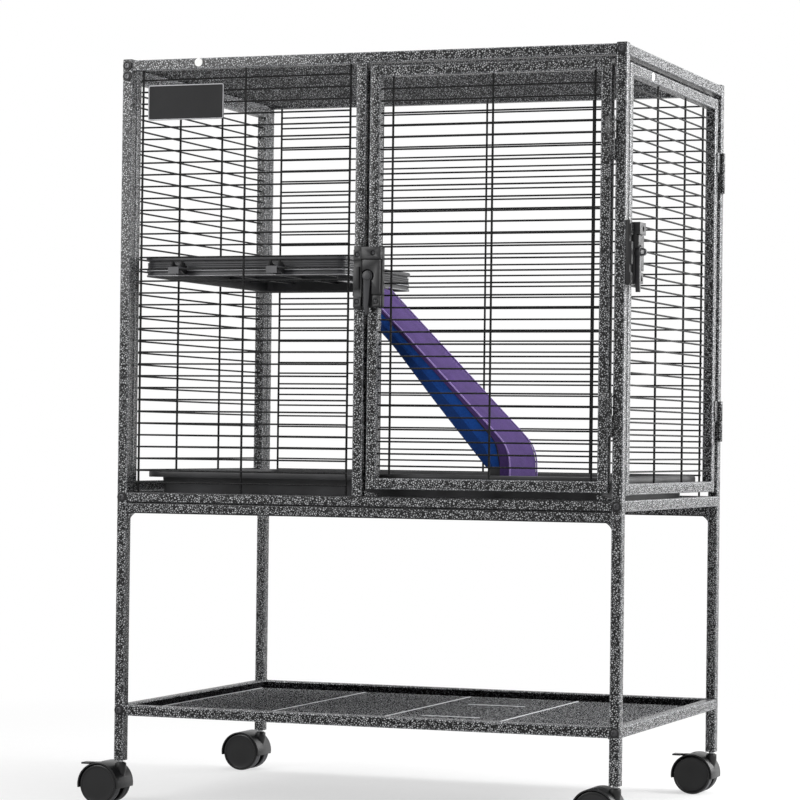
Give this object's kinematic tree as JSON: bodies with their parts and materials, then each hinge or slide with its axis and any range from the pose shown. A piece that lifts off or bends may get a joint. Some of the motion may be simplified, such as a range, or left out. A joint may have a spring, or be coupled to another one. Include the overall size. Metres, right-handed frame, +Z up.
{
  "type": "ferret cage on a storage stand",
  "caption": "Wide wire cage on an open stand with casters: a hinged front door and side door, a half shelf with a covered ramp, a deep tray and a storage shelf.",
  "frame": {"origin": "on the floor, under the middle of the box around the whole object", "axes": "+Z up, +X to the viewer's right along the width, +Y towards the back"},
  "size_m": [0.8644, 0.5894, 1.117],
  "materials": {
    "hammered_paint": "hammered grey-black powder coat",
    "pan_plastic": "satin black moulded plastic",
    "latch_plastic": "black moulded nylon",
    "cap_plastic": "black plastic",
    "plate": "dark grey, bare",
    "bolt_steel": "darkened steel",
    "screw_steel": "blackened steel",
    "bright_steel": "zinc-plated",
    "wheel_plastic": "black plastic",
    "blue_cloth": "dark blue woven cloth",
    "purple_cloth": "purple woven cloth"
  },
  "bodies": {
    "frame": {"stand_front_frame": "hammered_paint", "stand_rear_frame": "hammered_paint", "storage_side_rails": "hammered_paint", "storage_panel": "hammered_paint", "post_front_left": "hammered_paint", "post_front_right": "hammered_paint", "post_rear_left": "hammered_paint", "post_rear_right": "hammered_paint", "post_caps": "cap_plastic", "base_rail_front": "hammered_paint", "base_rail_rear": "hammered_paint", "base_rail_left": "hammered_paint", "base_rail_right": "hammered_paint", "top_panel": "hammered_paint", "back_wires": "hammered_paint", "front_wires": "hammered_paint", "front_mullion": "hammered_paint", "left_panel": "hammered_paint", "hinge_pins": "hammered_paint", "latch_keepers": "latch_plastic", "frame_bolts": "bolt_steel", "keeper_screws": "screw_steel", "half_shelf": "pan_plastic", "shelf_hooks": "pan_plastic", "tray": "pan_plastic", "tray_supports": "hammered_paint", "nameplate": "plate", "door_stops": "bright_steel", "stem_sockets": "cap_plastic"},
    "front_door": {"front_door_panel": "hammered_paint", "front_hinge_eyes": "hammered_paint", "front_latch_case": "latch_plastic", "front_latch_screws": "screw_steel"},
    "front_latch": {"front_latch_lever": "latch_plastic"},
    "side_door": {"side_door_panel": "hammered_paint", "side_hinge_eyes": "hammered_paint", "side_latch_case": "latch_plastic", "side_latch_screws": "screw_steel"},
    "side_latch": {"side_latch_lever": "latch_plastic"},
    "ramp": {"ramp_board": "pan_plastic", "ramp_sleeve": "blue_cloth", "ramp_pad": "purple_cloth"},
    "swivel_front_left": {"caster_front_left": "wheel_plastic", "stem_and_axle_front_left": "bright_steel"},
    "wheel_front_left_near_body": {"wheel_front_left_near": "wheel_plastic"},
    "wheel_front_left_far_body": {"wheel_front_left_far": "wheel_plastic"},
    "swivel_front_right": {"caster_front_right": "wheel_plastic", "stem_and_axle_front_right": "bright_steel"},
    "wheel_front_right_near_body": {"wheel_front_right_near": "wheel_plastic"},
    "wheel_front_right_far_body": {"wheel_front_right_far": "wheel_plastic"},
    "swivel_rear_left": {"caster_rear_left": "wheel_plastic", "stem_and_axle_rear_left": "bright_steel"},
    "wheel_rear_left_near_body": {"wheel_rear_left_near": "wheel_plastic"},
    "wheel_rear_left_far_body": {"wheel_rear_left_far": "wheel_plastic"},
    "swivel_rear_right": {"caster_rear_right": "wheel_plastic", "stem_and_axle_rear_right": "bright_steel"},
    "wheel_rear_right_near_body": {"wheel_rear_right_near": "wheel_plastic"},
    "wheel_rear_right_far_body": {"wheel_rear_right_far": "wheel_plastic"},
    "brake_front": {"brake_lever_front": "wheel_plastic"},
    "brake_rear": {"brake_lever_rear": "wheel_plastic"}
  },
  "joints": [
    {"name": "front_door_swing", "type": "hinge", "parent": "frame", "child": "front_door", "pos_m": [0.3888, -0.28, 0.557], "axis": [0, 0, 1], "range_deg": [0, 135]},
    {"name": "front_latch_turn", "type": "hinge", "parent": "front_door", "child": "front_latch", "pos_m": [0.0243, -0.275, 0.7875], "axis": [0, 1, 0], "range_deg": [0, 90]},
    {"name": "side_door_swing", "type": "hinge", "parent": "frame", "child": "side_door", "pos_m": [0.4128, 0.2485, 0.554], "axis": [0, 0, 1], "range_deg": [0, 135]},
    {"name": "side_latch_turn", "type": "hinge", "parent": "side_door", "child": "side_latch", "pos_m": [0.4078, -0.25, 0.8205], "axis": [-1, 0, 0], "range_deg": [0, 90]},
    {"name": "ramp_lift", "type": "hinge", "parent": "frame", "child": "ramp", "pos_m": [-0.02995, -0.151, 0.792], "axis": [0, -1, 0], "range_deg": [0, 40]},
    {"name": "caster_swivel_front_left", "type": "hinge", "parent": "frame", "child": "swivel_front_left", "pos_m": [-0.3712, -0.267, 0.066], "axis": [0, 0, 1], "continuous": true},
    {"name": "wheel_spin_front_left_near", "type": "hinge", "parent": "swivel_front_left", "child": "wheel_front_left_near_body", "pos_m": [-0.3962, -0.283, 0.03], "axis": [0, 1, 0], "continuous": true},
    {"name": "wheel_spin_front_left_far", "type": "hinge", "parent": "swivel_front_left", "child": "wheel_front_left_far_body", "pos_m": [-0.3962, -0.251, 0.03], "axis": [0, 1, 0], "continuous": true},
    {"name": "caster_swivel_front_right", "type": "hinge", "parent": "frame", "child": "swivel_front_right", "pos_m": [0.3998, -0.267, 0.066], "axis": [0, 0, 1], "continuous": true},
    {"name": "wheel_spin_front_right_near", "type": "hinge", "parent": "swivel_front_right", "child": "wheel_front_right_near_body", "pos_m": [0.3748, -0.283, 0.03], "axis": [0, 1, 0], "continuous": true},
    {"name": "wheel_spin_front_right_far", "type": "hinge", "parent": "swivel_front_right", "child": "wheel_front_right_far_body", "pos_m": [0.3748, -0.251, 0.03], "axis": [0, 1, 0], "continuous": true},
    {"name": "caster_swivel_rear_left", "type": "hinge", "parent": "frame", "child": "swivel_rear_left", "pos_m": [-0.3712, 0.267, 0.066], "axis": [0, 0, 1], "continuous": true},
    {"name": "wheel_spin_rear_left_near", "type": "hinge", "parent": "swivel_rear_left", "child": "wheel_rear_left_near_body", "pos_m": [-0.3962, 0.251, 0.03], "axis": [0, 1, 0], "continuous": true},
    {"name": "wheel_spin_rear_left_far", "type": "hinge", "parent": "swivel_rear_left", "child": "wheel_rear_left_far_body", "pos_m": [-0.3962, 0.283, 0.03], "axis": [0, 1, 0], "continuous": true},
    {"name": "caster_swivel_rear_right", "type": "hinge", "parent": "frame", "child": "swivel_rear_right", "pos_m": [0.3998, 0.267, 0.066], "axis": [0, 0, 1], "continuous": true},
    {"name": "wheel_spin_rear_right_near", "type": "hinge", "parent": "swivel_rear_right", "child": "wheel_rear_right_near_body", "pos_m": [0.3748, 0.251, 0.03], "axis": [0, 1, 0], "continuous": true},
    {"name": "wheel_spin_rear_right_far", "type": "hinge", "parent": "swivel_rear_right", "child": "wheel_rear_right_far_body", "pos_m": [0.3748, 0.283, 0.03], "axis": [0, 1, 0], "continuous": true},
    {"name": "brake_press_front", "type": "hinge", "parent": "swivel_front_left", "child": "brake_front", "pos_m": [-0.4042, -0.267, 0.0515], "axis": [0, -1, 0], "range_deg": [0, 10]},
    {"name": "brake_press_rear", "type": "hinge", "parent": "swivel_rear_right", "child": "brake_rear", "pos_m": [0.3668, 0.267, 0.0515], "axis": [0, -1, 0], "range_deg": [0, 10]}
  ]
}
